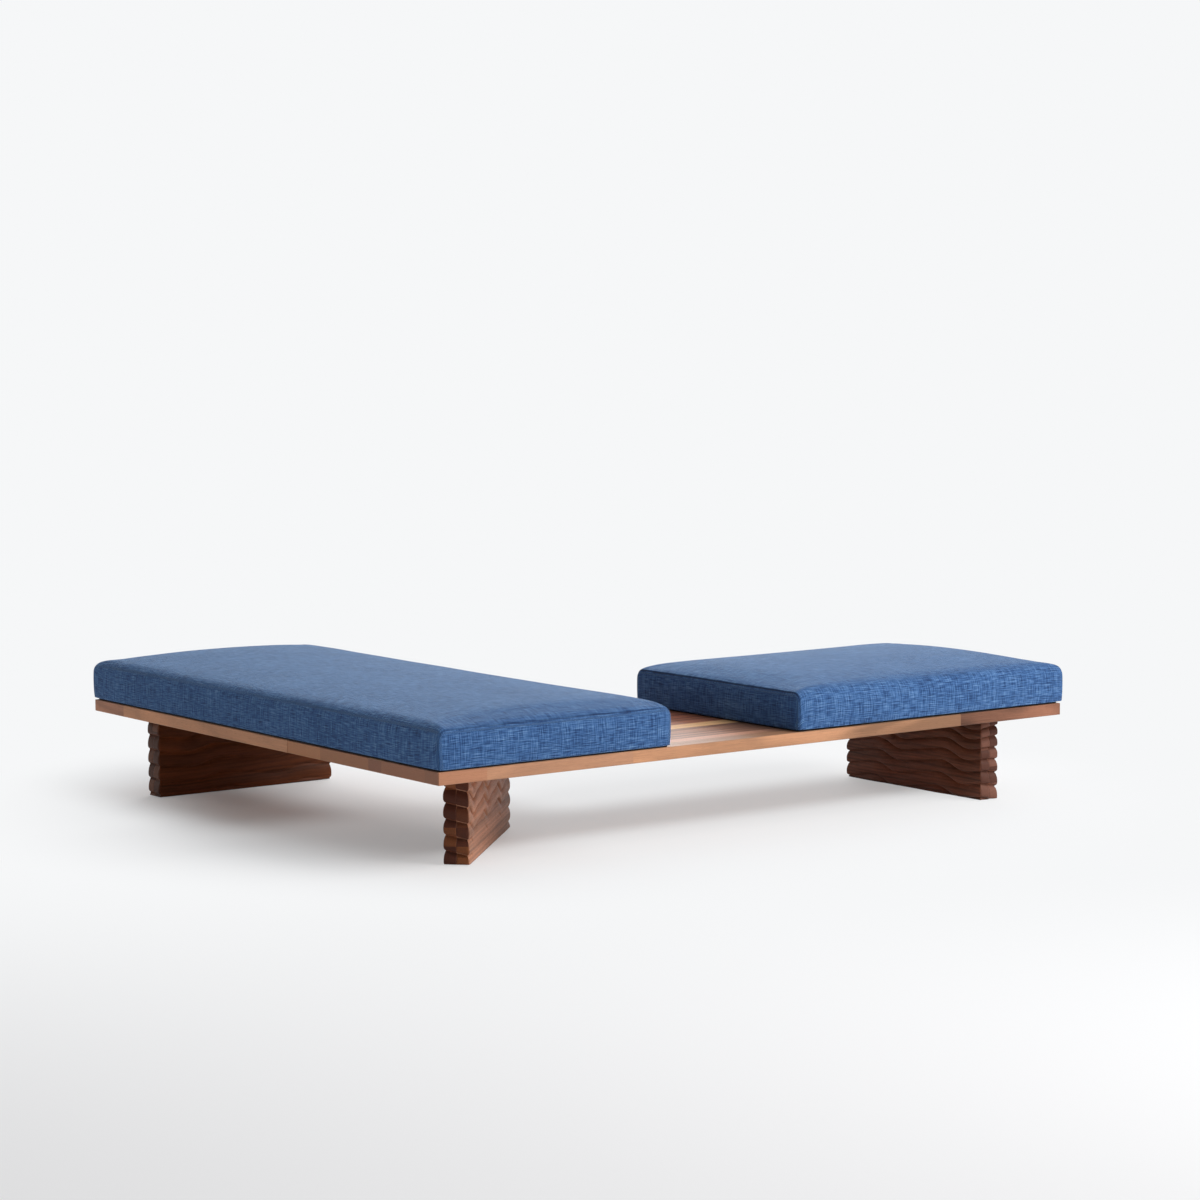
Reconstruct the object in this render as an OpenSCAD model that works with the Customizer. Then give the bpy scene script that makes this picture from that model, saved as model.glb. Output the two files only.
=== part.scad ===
// L-shaped daybed: two glued walnut panels on three carved slab legs, with two loose upholstered cushions.
// X runs along the bench, Y runs back along the arm, Z is up. The floor is Z = 0 and the
// origin lies under the middle of the whole outline.

/* [Platform] */
// Length of the bench from end to end
bench_l = 2134; // [1900:2:2400]
// Length of the arm from the bench's front edge to its own back end
arm_l = 1828; // [1600:2:2100]
// Width of the bench and of the arm
panel_w = 726; // [660:2:800]
// Thickness of the boards
board_t = 33; // [30:1:42]
// Height of the boards' underside above the floor
under_h = 236; // [200:1:300]
// Chamfer along the edges of each panel
ease = 1.5; // [0.5:0.1:3]

/* [Staves] */
// Width of the bench's front stave
front_stave_w = 62; // [50:1:75]
// Width of the broad pale stave behind it
broad_stave_w = 200; // [170:1:210]
// Width of the light sapwood stave
sapwood_stave_w = 62; // [50:1:70]
// Width of the narrow stave behind the sapwood
narrow_stave_w = 88; // [70:1:95]
// Width of the dark streaked stave
dark_stave_w = 147; // [120:1:150]
// Length of the front stave's short piece at the corner of the L
front_corner_l = 145; // [110:5:200]
// Distance from the left end to the front stave's next end joint
front_joint_left = 600; // [450:5:800]
// Distance from the right end to the front stave's last end joint
front_joint_right = 388; // [300:4:600]
// Width of the arm's outer stave
outer_stave_w = 118; // [90:2:150]
// Distance from the back end to the outer stave's end joint
outer_joint = 178; // [120:2:300]

/* [Legs] */
// Distance from a panel's sides to the ends of the leg under it
leg_inset = 70; // [50:1:95]
// Thickness of each leg
leg_t = 70; // [60:1:84]
// Distance from both edges of the corner to the middle of the corner leg's near end
corner_leg_inset = 150; // [130:1:170]
// Distance from the arm's back end to the leg under it
arm_leg_setback = 183; // [140:1:260]
// Distance from the bench's right end to the leg under it
bench_leg_setback = 174; // [140:1:260]
// Thickness of the felt under each leg
glide_t = 2; // [1:0.5:4]

/* [Carving] */
// Height of one ridge
ridge_pitch = 43.5; // [36:0.5:50]
// Depth of the grooves on the ends of the legs
groove_d = 10; // [6:0.5:12]
// Depth of the grooves on the broad faces of the corner leg and of the bench's leg
face_groove_d = 7.5; // [4:0.5:10]
// Depth of the grooves on the broad faces of the arm's leg
arm_groove_d = 5; // [3:0.5:8]
// Height of the waves above and below their middle line
wave_a = 15; // [8:0.5:18]
// Length of one wave on the arm's leg and on the bench's leg
wave_l = 275; // [220:5:340]
// Length of one wave on the corner leg
short_wave_l = 195; // [160:5:240]
// Radius of the legs' upright corners
leg_r = 7; // [4:0.5:12]

/* [Cushions] */
// Length of the short cushion
short_cushion_l = 976; // [800:4:1100]
// Height of a cushion's cover at its shoulders
cover_h = 113; // [95:1:130]
// Rise of the top from the shoulders to the middle
crown = 4; // [2:0.5:10]
// How far the cushions stand out over the panels' edges
overhang = 4.5; // [2:0.5:8]
// How far the long sides draw in at mid length
draw_in = 3; // [1:0.5:6]
// Radius of the rounded long edges
roll_r = 28; // [18:1:36]
// Drop from the top to the seam of an end panel
end_drop = 15; // [8:1:20]
// Depth of the sewn groove round an end panel
seam_d = 2; // [1:0.5:3]
// Thickness of the fibre wrap and cover round the foam
wrap_t = 14; // [10:1:18]
// Thickness of the plywood base board
base_t = 12; // [9:1:15]
// Thickness of the black non-slip underlay
underlay_t = 3.5; // [2:0.5:5]
// Distance from a panel's edges to the underlay
underlay_inset = 9; // [6:1:14]

/* [Fixings] */
// Diameter of the leg bolts
bolt_d = 8; // [6:1:10]
// Distance between the leg bolts
bolt_pitch = 170; // [150:5:180]
// Depth of a leg bolt below the boards' underside
bolt_reach = 45; // [35:1:60]
// Outer diameter of the washers under the bolt heads
washer_d = 24; // [20:1:28]
// Thickness of the washers
washer_t = 2; // [1:0.5:3]
// Outer diameter of the threaded inserts
insert_d = 16; // [14:1:18]
// Length of the threaded inserts
insert_l = 30; // [20:1:34]
// Diameter of the dowels in the seam
dowel_d = 12; // [10:1:14]
// Length of the dowels in the seam
dowel_l = 80; // [60:2:100]
// Distance from the seam to the middle of a connector pocket
pocket_set = 60; // [50:1:70]
// Diameter of a connector pocket
pocket_d = 34; // [30:1:40]
// Diameter of the connector bolts
connector_d = 8; // [6:1:8]

/* [Hidden] */
// Gap round a piece in its bore
fit_gap = 0.1;
// Gap between a cushion and the panel that it rests on
rest_gap = 0.3;
// Overshoot of cutting shapes past the faces that they open
past = 1;

// Platform
top_h = under_h + board_t;
arm_panel_l = arm_l - panel_w;
seam_y = panel_w;
mid_board_z = under_h + board_t / 2;
bench_lines = [0, front_stave_w, front_stave_w + broad_stave_w,
    front_stave_w + broad_stave_w + sapwood_stave_w,
    front_stave_w + broad_stave_w + sapwood_stave_w + narrow_stave_w,
    front_stave_w + broad_stave_w + sapwood_stave_w + narrow_stave_w + dark_stave_w,
    panel_w];
inner_staves = 4;
inner_stave_w = (panel_w - outer_stave_w) / inner_staves;

// Legs
leg_l = panel_w - 2 * leg_inset;
leg_h = under_h - glide_t;
corner_leg_mid = corner_leg_inset + leg_l / 2 * cos(45);
arm_leg_y = arm_l - arm_leg_setback - leg_t / 2;
bench_leg_x = bench_l - bench_leg_setback - leg_t / 2;
bolt_places = [-bolt_pitch, 0, bolt_pitch];

// Carving. Each row gives a ring's height as a share of its ridge, and its depth as a share of the
// groove: the underside of a ridge is abrupt, its face upright and its top slopes in to the next groove.
ridge_rings = [[0, 1], [0.14, 0.12], [0.55, 0.05], [0.8, 0.4]];
// Carved columns along each broad face
face_columns = 24;
// Angle between the points round a leg's upright corners
corner_step = 45;
// Radius left on a leg's corners at the bottom of the grooves
groove_r = 1.5;
// Distance from a leg's sides to the felt under it
felt_inset = 12;

// Parts of a carving style, with angles in degrees. grooves: the middle height of the lowest groove above
// the leg's foot, the height of a ridge and how fast that lessens upwards. ripple: the length of a wave
// and its height at the foot and at the top. turn: the wave's phase at mid length, the shift of that from
// foot to top and how much faster the wave falls than it rises. lean: the slope of the grooves across
// the thickness at the foot and at the top. cut: the depth of the grooves on the broad faces.
grooves = 0;
ripple = 1;
turn = 2;
lean = 3;
cut = 4;
corner_style = [[20, ridge_pitch, 0], [short_wave_l, 0.6 * wave_a, 1.1 * wave_a],
    [267, 15, -49], [0.2, 0.2], face_groove_d];
arm_style = [[3, ridge_pitch, 0], [wave_l, 0.6 * wave_a, 0.6 * wave_a],
    [150, 70, 28], [0.05, -0.02], arm_groove_d];
bench_style = [[0, ridge_pitch, 0.03], [wave_l, 0.8 * wave_a, 0.8 * wave_a],
    [199, 70, 28], [0.24, -0.15], face_groove_d];
// How far a carved block reaches past the leg's foot and top before it is sawn off
block_reach = 48;

// Cushions
cushion_z = top_h + rest_gap + underlay_t;
end_dome = 3;
roll_steps = 4;
top_columns = 12;
body_rings = 8;
shoulder_run = 150;
turn_l = 6;
rise_l = 50;
soft_share = 0.55;
rise_steps = [6, 14, 30, 55, 95];
foot_draw = 5;
shoulder_draw = 1;
foot_r = 5;
end_r = 20;
// Share of the end drop that the sides draw in by at the seam
side_share = 0.45;
core_h = cover_h - wrap_t;
short_cushion_x = bench_l - short_cushion_l;

// Fixings
head_d = 1.6 * bolt_d;
head_h = bolt_d;
socket_d = 0.86 * bolt_d;
bolt_sink = head_h + washer_t + 2;
counterbore_d = washer_d + 2;
dowel_places = [0.2, 0.36, 0.64, 0.8] * panel_w;
connector_places = [outer_stave_w / 2, outer_stave_w + 1.5 * inner_stave_w,
    panel_w - inner_stave_w / 2];
pocket_roof = 7;
channel_w = connector_d + 2;
saddle_t = 6;
saddle_h = 16;
saddle_flat = pocket_set - pocket_d / 2 + fit_gap + saddle_t;
connector_head_h = 5.3;
connector_head_d = 1.9 * connector_d;
connector_nut_h = 6.5;
connector_tip = 3;

// Colours as the finish shows them
walnut = [0.62, 0.42, 0.31];
pale_walnut = [0.70, 0.54, 0.44];
sapwood = [0.82, 0.68, 0.54];
dark_walnut = [0.45, 0.28, 0.20];
leg_walnut = [0.36, 0.22, 0.16];
beech = [0.83, 0.67, 0.47];
steel = [0.60, 0.61, 0.63];
brass = [0.76, 0.62, 0.32];
felt = [0.22, 0.21, 0.20];
blue_weave = [0.20, 0.36, 0.58];
foam_white = [0.90, 0.88, 0.80];
birch = [0.80, 0.70, 0.54];
black_cloth = [0.06, 0.06, 0.07];

// Moves the corner of the L so that the middle of the outline is the origin
module placed() {
    translate([-bench_l / 2, -arm_l / 2, 0]) children();
}

// Rectangle with its corners cut off by the easing chamfer
module eased_rect(a, b) {
    polygon([[ease, 0], [a - ease, 0], [a, ease], [a, b - ease],
        [a - ease, b], [ease, b], [0, b - ease], [0, ease]]);
}

// Slab with every edge chamfered
module eased_slab(x, y, z) {
    intersection() {
        linear_extrude(z) eased_rect(x, y);
        translate([0, y, 0]) rotate([90, 0, 0]) linear_extrude(y) eased_rect(x, z);
        rotate([90, 0, 90]) linear_extrude(x) eased_rect(y, z);
    }
}

// Places of the three legs: each leg is drawn along X about its own middle
module at_corner_leg() {
    translate([corner_leg_mid, corner_leg_mid, 0]) rotate(45) children();
}
module at_arm_leg() {
    translate([panel_w / 2, arm_leg_y, 0]) children();
}
module at_bench_leg() {
    translate([bench_leg_x, panel_w / 2, 0]) rotate(90) children();
}
module at_each_leg() {
    at_corner_leg() children();
    at_arm_leg() children();
    at_bench_leg() children();
}
module at_each_bolt() {
    at_each_leg() for (x = bolt_places) translate([x, 0, 0]) children();
}

// Counterbored holes for the leg bolts, drilled from the top of the boards
module bolt_holes() {
    at_each_bolt() {
        translate([0, 0, under_h - past])
            cylinder(d = bolt_d + 1, h = board_t + 2 * past, $fn = 32);
        translate([0, 0, top_h - bolt_sink])
            cylinder(d = counterbore_d, h = bolt_sink + past, $fn = 48);
    }
}

// Blind bores for the dowels, on both sides of the seam
module dowel_bores() {
    for (x = dowel_places)
        translate([x, seam_y - dowel_l / 2 - past, mid_board_z])
            rotate([-90, 0, 0]) cylinder(r = dowel_d / 2 + fit_gap, h = dowel_l + 2 * past, $fn = 32);
}

// Keyhole pockets routed in the underside for the connectors
module connector_pockets() {
    for (x = connector_places) {
        for (side = [-1, 1])
            translate([x, seam_y + side * pocket_set, under_h - past])
                cylinder(d = pocket_d, h = board_t - pocket_roof + past, $fn = 48);
        translate([x - channel_w / 2, seam_y - pocket_set, under_h - past])
            cube([channel_w, 2 * pocket_set, board_t / 2 + channel_w / 2 + past]);
    }
}

// Part of the bench panel between two lines across its width and two along its length
module bench_piece(y0, y1, x0, x1) {
    difference() {
        intersection() {
            translate([0, 0, under_h]) eased_slab(bench_l, panel_w, board_t);
            translate([x0, y0, under_h]) cube([x1 - x0, y1 - y0, board_t]);
        }
        bolt_holes();
        dowel_bores();
        connector_pockets();
    }
}

// Part of the arm panel between two lines across its width and two along its length
module arm_piece(x0, x1, y0, y1) {
    difference() {
        intersection() {
            translate([0, seam_y, under_h]) eased_slab(panel_w, arm_panel_l, board_t);
            translate([x0, y0, under_h]) cube([x1 - x0, y1 - y0, board_t]);
        }
        bolt_holes();
        dowel_bores();
        connector_pockets();
    }
}
module bench_stave(i) {
    bench_piece(bench_lines[i], bench_lines[i + 1], 0, bench_l);
}
module arm_stave(i) {
    arm_piece(outer_stave_w + (i - 1) * inner_stave_w, outer_stave_w + i * inner_stave_w, seam_y, arm_l);
}

module front_stave_corner() {
    color(walnut) placed() bench_piece(0, front_stave_w, 0, front_corner_l);
}
module front_stave_left() {
    color(walnut) placed() bench_piece(0, front_stave_w, front_corner_l, front_joint_left);
}
module front_stave_middle() {
    color(walnut) placed()
        bench_piece(0, front_stave_w, front_joint_left, bench_l - front_joint_right);
}
module front_stave_right() {
    color(dark_walnut) placed() bench_piece(0, front_stave_w, bench_l - front_joint_right, bench_l);
}
module broad_stave() { color(pale_walnut) placed() bench_stave(1); }
module sapwood_stave() { color(sapwood) placed() bench_stave(2); }
module narrow_stave() { color(walnut) placed() bench_stave(3); }
module dark_stave() { color(dark_walnut) placed() bench_stave(4); }
module back_stave() { color(walnut) placed() bench_stave(5); }
module arm_outer_stave() {
    color(walnut) placed() arm_piece(0, outer_stave_w, seam_y, arm_l - outer_joint);
}
module arm_outer_end_stave() {
    color(pale_walnut) placed() arm_piece(0, outer_stave_w, arm_l - outer_joint, arm_l);
}
module arm_stave_2() { color(pale_walnut) placed() arm_stave(1); }
module arm_stave_3() { color(walnut) placed() arm_stave(2); }
module arm_stave_4() { color(dark_walnut) placed() arm_stave(3); }
module arm_inner_stave() { color(walnut) placed() arm_stave(4); }

// Dowels that line the two panels up
module seam_dowels() {
    color(beech) placed() for (x = dowel_places)
        translate([x, seam_y - dowel_l / 2, mid_board_z])
            rotate([-90, 0, 0]) cylinder(d = dowel_d, h = dowel_l, $fn = 32);
}

// Draw bolts across the seam: hexagon heads in the bench's pockets, tips in the arm's
module seam_bolts() {
    color(steel) placed() for (x = connector_places)
        translate([x, seam_y - saddle_flat, mid_board_z]) rotate([-90, 0, 0]) {
            translate([0, 0, -connector_head_h])
                cylinder(d = connector_head_d, h = connector_head_h, $fn = 6);
            cylinder(d = connector_d, h = 2 * saddle_flat + connector_nut_h + connector_tip, $fn = 32);
        }
}
module seam_nuts() {
    color(steel) placed() for (x = connector_places)
        translate([x, seam_y + saddle_flat, mid_board_z]) rotate([-90, 0, 0]) difference() {
            cylinder(d = connector_head_d, h = connector_nut_h, $fn = 6);
            translate([0, 0, -past])
                cylinder(r = connector_d / 2 + fit_gap, h = connector_nut_h + 2 * past, $fn = 32);
        }
}

// Half-moon saddles that the bolt heads and nuts bear on, round side against the pocket's wall
module seam_saddles() {
    color(steel) placed() for (x = connector_places, side = [-1, 1])
        translate([x, seam_y + side * pocket_set, mid_board_z - saddle_h / 2]) difference() {
            intersection() {
                cylinder(r = pocket_d / 2 - fit_gap, h = saddle_h, $fn = 48);
                translate([-pocket_d / 2, side > 0 ? -pocket_d / 2 : pocket_set - saddle_flat, 0])
                    cube([pocket_d, pocket_d / 2 - pocket_set + saddle_flat, saddle_h]);
            }
            translate([0, -pocket_d, saddle_h / 2]) rotate([-90, 0, 0])
                cylinder(r = connector_d / 2 + 2 * fit_gap, h = 2 * pocket_d, $fn = 32);
        }
}

// Carved columns round one ply, from the middle of one end to the middle of the other. Each holds the
// signs of the corner that it belongs to, as shares along the leg and across it, and its outward angle.
function columns() = concat(
    [[1, 0, 0], [1, 0.5, 0]],
    [for (a = [0:corner_step:90]) [1, 1, a]],
    [for (k = [1:face_columns - 1]) [1 - 2 * k / face_columns, 1, 90]],
    [for (a = [90:corner_step:180]) [-1, 1, a]],
    [[-1, 0.5, 180], [-1, 0, 180]]);

// Plan point of a column when the leg's outline is drawn in by d
function plan_point(c, d) = let (r = max(leg_r - d, groove_r))
    [c[0] * (leg_l / 2 - d - r) + r * cos(c[2]), c[1] * (leg_t / 2 - d - r) + r * sin(c[2])];

// Value that runs evenly from the first to the second of a pair over the leg's height
function along_height(pair, t) = pair[0] + (pair[1] - pair[0]) * t;

// Height of a groove over its middle line at a plan point, for a share t of the leg's height
function wave_z(s, x, y, t) =
    let (angle = 360 * x / s[ripple][0] + s[turn][0] + s[turn][1] * t,
        height = along_height([s[ripple][1], s[ripple][2]], t))
    height * sin(angle + s[turn][2] * sin(angle)) + along_height(s[lean], t) * y;

// Middle height of groove k above the leg's foot
function groove_z(s, k) = s[grooves][0] + s[grooves][1] * k * (1 - s[grooves][2] * k);

// Rings up the carved block, as pairs of a middle height above the leg's foot and a share of the
// groove's depth
function rings(s) = [for (k = [-2:ceil(leg_h / s[grooves][1]) + 2], r = ridge_rings)
    let (z = groove_z(s, k) + r[0] * (groove_z(s, k + 1) - groove_z(s, k)))
    if (z > -block_reach && z < leg_h + block_reach) [z, r[1]]];

// Ripple-carved block for one ply, longer than the leg at both ends: side is 1 for the ply on +Y and
// -1 for the ply on -Y of the glue line
module carved_block(s, side) {
    cols = columns();
    levels = rings(s);
    n = len(cols);
    m = len(levels);
    points = concat(
        [for (l = levels, c = cols)
            let (depth = groove_d + (s[cut] - groove_d) * sin(c[2]),
                at = plan_point(c, l[1] * depth),
                on = plan_point(c, 0),
                t = max(0, min(1, l[0] / leg_h)))
            [at[0], side * at[1], glide_t + l[0] + wave_z(s, on[0], side * on[1], t)]],
        [for (l = [levels[0], levels[m - 1]]) [0, side * leg_t / 4, glide_t + l[0]]]);
    wall = [for (j = [0:m - 2], i = [0:n - 2]) let (a = j * n + i, b = a + n) each
        [[a, b, b + 1], [a, b + 1, a + 1]]];
    glue = [for (j = [0:m - 2]) let (near = j * n, far = near + n - 1) each
        [[far, far + n, near + n], [far, near + n, near]]];
    caps = [for (i = [0:n - 1]) let (k = (i + 1) % n) each
        [[m * n, i, k], [m * n + 1, (m - 1) * n + k, (m - 1) * n + i]]];
    faces = concat(wall, glue, caps);
    polyhedron(points, side > 0 ? faces : [for (f = faces) [f[2], f[1], f[0]]]);
}

// One carved ply of a leg, sawn off flat at its foot and under the boards, with the bores for its bolts
module carved_ply(s, side) {
    difference() {
        intersection() {
            carved_block(s, side);
            translate([-leg_l, -leg_t, glide_t]) cube([2 * leg_l, 2 * leg_t, leg_h]);
        }
        for (x = bolt_places) translate([x, 0, 0]) rotate(-90 * side) {
            translate([0, 0, under_h - insert_l - past])
                cylinder(r = insert_d / 2 + fit_gap, h = insert_l + 2 * past, $fn = 32);
            translate([0, 0, under_h - bolt_reach - past])
                cylinder(d = bolt_d + 1, h = bolt_reach, $fn = 32);
        }
    }
}
module corner_leg_left_ply() { color(leg_walnut) placed() at_corner_leg() carved_ply(corner_style, 1); }
module corner_leg_right_ply() { color(dark_walnut) placed() at_corner_leg() carved_ply(corner_style, -1); }
module arm_leg_front_ply() { color(leg_walnut) placed() at_arm_leg() carved_ply(arm_style, -1); }
module arm_leg_back_ply() { color(dark_walnut) placed() at_arm_leg() carved_ply(arm_style, 1); }
module bench_leg_inner_ply() { color(leg_walnut) placed() at_bench_leg() carved_ply(bench_style, 1); }
module bench_leg_outer_ply() { color(dark_walnut) placed() at_bench_leg() carved_ply(bench_style, -1); }

// Felt strip with round ends under a leg, clear of the foot's edges
module felt_strip() {
    strip_w = leg_t - 2 * felt_inset;
    run = leg_l / 2 - felt_inset - strip_w / 2;
    color(felt) linear_extrude(glide_t) {
        translate([-run, -strip_w / 2]) square([2 * run, strip_w]);
        for (x = [-run, run]) translate([x, 0]) circle(d = strip_w, $fn = 48);
    }
}
module corner_leg_felt() { placed() at_corner_leg() felt_strip(); }
module arm_leg_felt() { placed() at_arm_leg() felt_strip(); }
module bench_leg_felt() { placed() at_bench_leg() felt_strip(); }

// Socket-head bolts down through the boards into the legs
module leg_bolts() {
    color(steel) placed() at_each_bolt() translate([0, 0, top_h - bolt_sink + washer_t]) difference() {
        union() {
            cylinder(d = head_d, h = head_h, $fn = 48);
            translate([0, 0, under_h - bolt_reach - top_h + bolt_sink - washer_t])
                cylinder(d = bolt_d, h = bolt_reach + board_t - bolt_sink + washer_t, $fn = 32);
        }
        translate([0, 0, head_h / 2]) cylinder(d = socket_d, h = head_h, $fn = 6);
    }
}
module leg_washers() {
    color(steel) placed() at_each_bolt() translate([0, 0, top_h - bolt_sink]) difference() {
        cylinder(d = washer_d, h = washer_t, $fn = 48);
        translate([0, 0, -past]) cylinder(r = bolt_d / 2 + fit_gap, h = washer_t + 2 * past, $fn = 32);
    }
}

// Brass inserts in the tops of the legs, across the glue line
module leg_inserts() {
    color(brass) placed() at_each_bolt() translate([0, 0, under_h - insert_l - past]) difference() {
        cylinder(d = insert_d, h = insert_l, $fn = 32);
        translate([0, 0, -past]) cylinder(r = bolt_d / 2 + fit_gap, h = insert_l + 2 * past, $fn = 32);
    }
}

// Rings along half a cushion, from its end panel to its body. Each holds the distance in from the end,
// the share of the end panel's size, and how far the section is drawn in, as a share of the drop to
// the seam: the panel's dome, its rim, the sewn groove, and then the rise to the body.
function cushion_rings() = concat(
    [[0.1 * end_dome, 0.5, 1], [0.45 * end_dome, 0.86, 1], [end_dome, 1, 1],
        [end_dome + seam_d, 1, 1.08], [end_dome + 1.3 * seam_d, 1, drop_share(1.3 * seam_d)]],
    [for (t = rise_steps) [end_dome + t, 1, drop_share(t)]],
    [[shoulder_run, 1, 0]]);

// What is left of an end's drop at distance t in from the rim of its panel: a tight turn at the
// seam, then a long soft rise
function drop_share(t) = (1 - soft_share) * exp(-t / turn_l) + soft_share * exp(-t / rise_l);

// Section of a cushion w wide at distance y from its middle, half length hl, as a closed outline of
// points across and up. drop is the share of the drop to the seam, size the share of the end panel.
function section(w, y, hl, size, drop) =
    let (q = max(0, 1 - pow(y / (hl - shoulder_run), 2)),
        half = w / 2 + overhang - draw_in * q - drop * end_drop * side_share,
        h = cover_h - drop * end_drop,
        r = end_r + (roll_r - end_r) * (1 - min(1, drop)),
        rise = crown * max(0, 1 - pow(abs(y) / hl, 3)) * (1 - min(1, drop)),
        right = concat([[half - foot_draw - foot_r, 0], [half - foot_draw, foot_r],
            [half, h * 0.42], [half - shoulder_draw, h - r]],
            [for (k = [1:roll_steps]) let (a = 90 * k / roll_steps)
                [half - shoulder_draw - r + r * cos(a), h - r + r * sin(a)]]),
        inner = half - shoulder_draw - r,
        top = [for (k = [1:top_columns - 1]) let (x = inner * (1 - 2 * k / top_columns))
            [x, h + rise * (1 - pow(abs(x) / inner, 3))]],
        left = [for (k = [len(right) - 1:-1:0]) [-right[k][0], right[k][1]]],
        loop = concat(right, top, left))
    [for (p = loop) [p[0] * size, h / 2 + (p[1] - h / 2) * size]];

// Crowned cushion of width w and length l, lying along Y about its own middle: long edges rolled over,
// ends closed by flat panels inside a sewn groove
module cushion_form(w, l) {
    hl = l / 2 + overhang;
    near = cushion_rings();
    mid = [for (k = [1:body_rings]) (hl - shoulder_run) * (1 - 2 * k / (body_rings + 1))];
    stations = concat(
        [for (e = near) [e[0] - hl, e[1], e[2]]],
        [for (y = mid) [-y, 1, 0]],
        [for (k = [len(near) - 1:-1:0]) [hl - near[k][0], near[k][1], near[k][2]]]);
    loops = [for (s = stations) section(w, s[0], hl, s[1], s[2])];
    n = len(loops[0]);
    m = len(stations);
    points = concat(
        [for (j = [0:m - 1], p = loops[j]) [p[0], stations[j][0], p[1]]],
        [for (y = [-hl, hl]) [0, y, (cover_h - end_drop) / 2]]);
    wall = [for (j = [0:m - 2], i = [0:n - 1]) let (k = (i + 1) % n) each
        [[j * n + i, (j + 1) * n + i, (j + 1) * n + k], [j * n + i, (j + 1) * n + k, j * n + k]]];
    caps = [for (i = [0:n - 1]) let (k = (i + 1) % n) each
        [[i, k, m * n], [(m - 1) * n + k, (m - 1) * n + i, m * n + 1]]];
    polyhedron(points, concat(wall, caps));
}

// Block inside a cushion, w by l by h, standing z above the cushion's foot
module core_block(w, l, z, h) {
    translate([-w / 2 + wrap_t, -l / 2 + wrap_t, z]) cube([w - 2 * wrap_t, l - 2 * wrap_t, h]);
}
module cushion_cover(w, l) {
    color(blue_weave) difference() {
        cushion_form(w, l);
        core_block(w, l, -past, core_h + past);
    }
}
module cushion_foam(w, l) {
    color(foam_white) core_block(w, l, base_t, core_h - base_t);
}
module cushion_base(w, l) {
    color(birch) core_block(w, l, 0, base_t);
}
module cushion_underlay(w, l) {
    color(black_cloth) translate([-w / 2 + underlay_inset, -l / 2 + underlay_inset, -underlay_t])
        cube([w - 2 * underlay_inset, l - 2 * underlay_inset, underlay_t]);
}

// Places of the two cushions
module at_long_cushion() {
    placed() translate([panel_w / 2, arm_l / 2, cushion_z]) children();
}
module at_short_cushion() {
    placed() translate([short_cushion_x + short_cushion_l / 2, panel_w / 2, cushion_z]) rotate(90) children();
}
module long_cushion_cover() { at_long_cushion() cushion_cover(panel_w, arm_l); }
module long_cushion_foam() { at_long_cushion() cushion_foam(panel_w, arm_l); }
module long_cushion_base() { at_long_cushion() cushion_base(panel_w, arm_l); }
module long_cushion_underlay() { at_long_cushion() cushion_underlay(panel_w, arm_l); }
module short_cushion_cover() { at_short_cushion() cushion_cover(panel_w, short_cushion_l); }
module short_cushion_foam() { at_short_cushion() cushion_foam(panel_w, short_cushion_l); }
module short_cushion_base() { at_short_cushion() cushion_base(panel_w, short_cushion_l); }
module short_cushion_underlay() { at_short_cushion() cushion_underlay(panel_w, short_cushion_l); }

front_stave_corner();
front_stave_left();
front_stave_middle();
front_stave_right();
broad_stave();
sapwood_stave();
narrow_stave();
dark_stave();
back_stave();
arm_outer_stave();
arm_outer_end_stave();
arm_stave_2();
arm_stave_3();
arm_stave_4();
arm_inner_stave();
seam_dowels();
seam_bolts();
seam_nuts();
seam_saddles();
corner_leg_left_ply();
corner_leg_right_ply();
arm_leg_front_ply();
arm_leg_back_ply();
bench_leg_inner_ply();
bench_leg_outer_ply();
corner_leg_felt();
arm_leg_felt();
bench_leg_felt();
leg_bolts();
leg_washers();
leg_inserts();
long_cushion_cover();
long_cushion_foam();
long_cushion_base();
long_cushion_underlay();
short_cushion_cover();
short_cushion_foam();
short_cushion_base();
short_cushion_underlay();
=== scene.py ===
# %% [markdown]
# # A low L-shaped daybed
# Two walnut panels, each glued up from staves, meet in an L and stand on three slab legs that
# are carved with rippling ridges. Two loose cushions in a heathered blue weave lie on them.
# The construction is loaded as a fixed model in which every piece has its real size. This
# lesson dresses it: each rigid piece gets its finish, the legs get their fine carving, and the
# cushions are sewn, filled and relaxed.

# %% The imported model
import math

import bmesh
import bpy
import numpy as np
from mathutils import Matrix, Vector, noise


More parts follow.
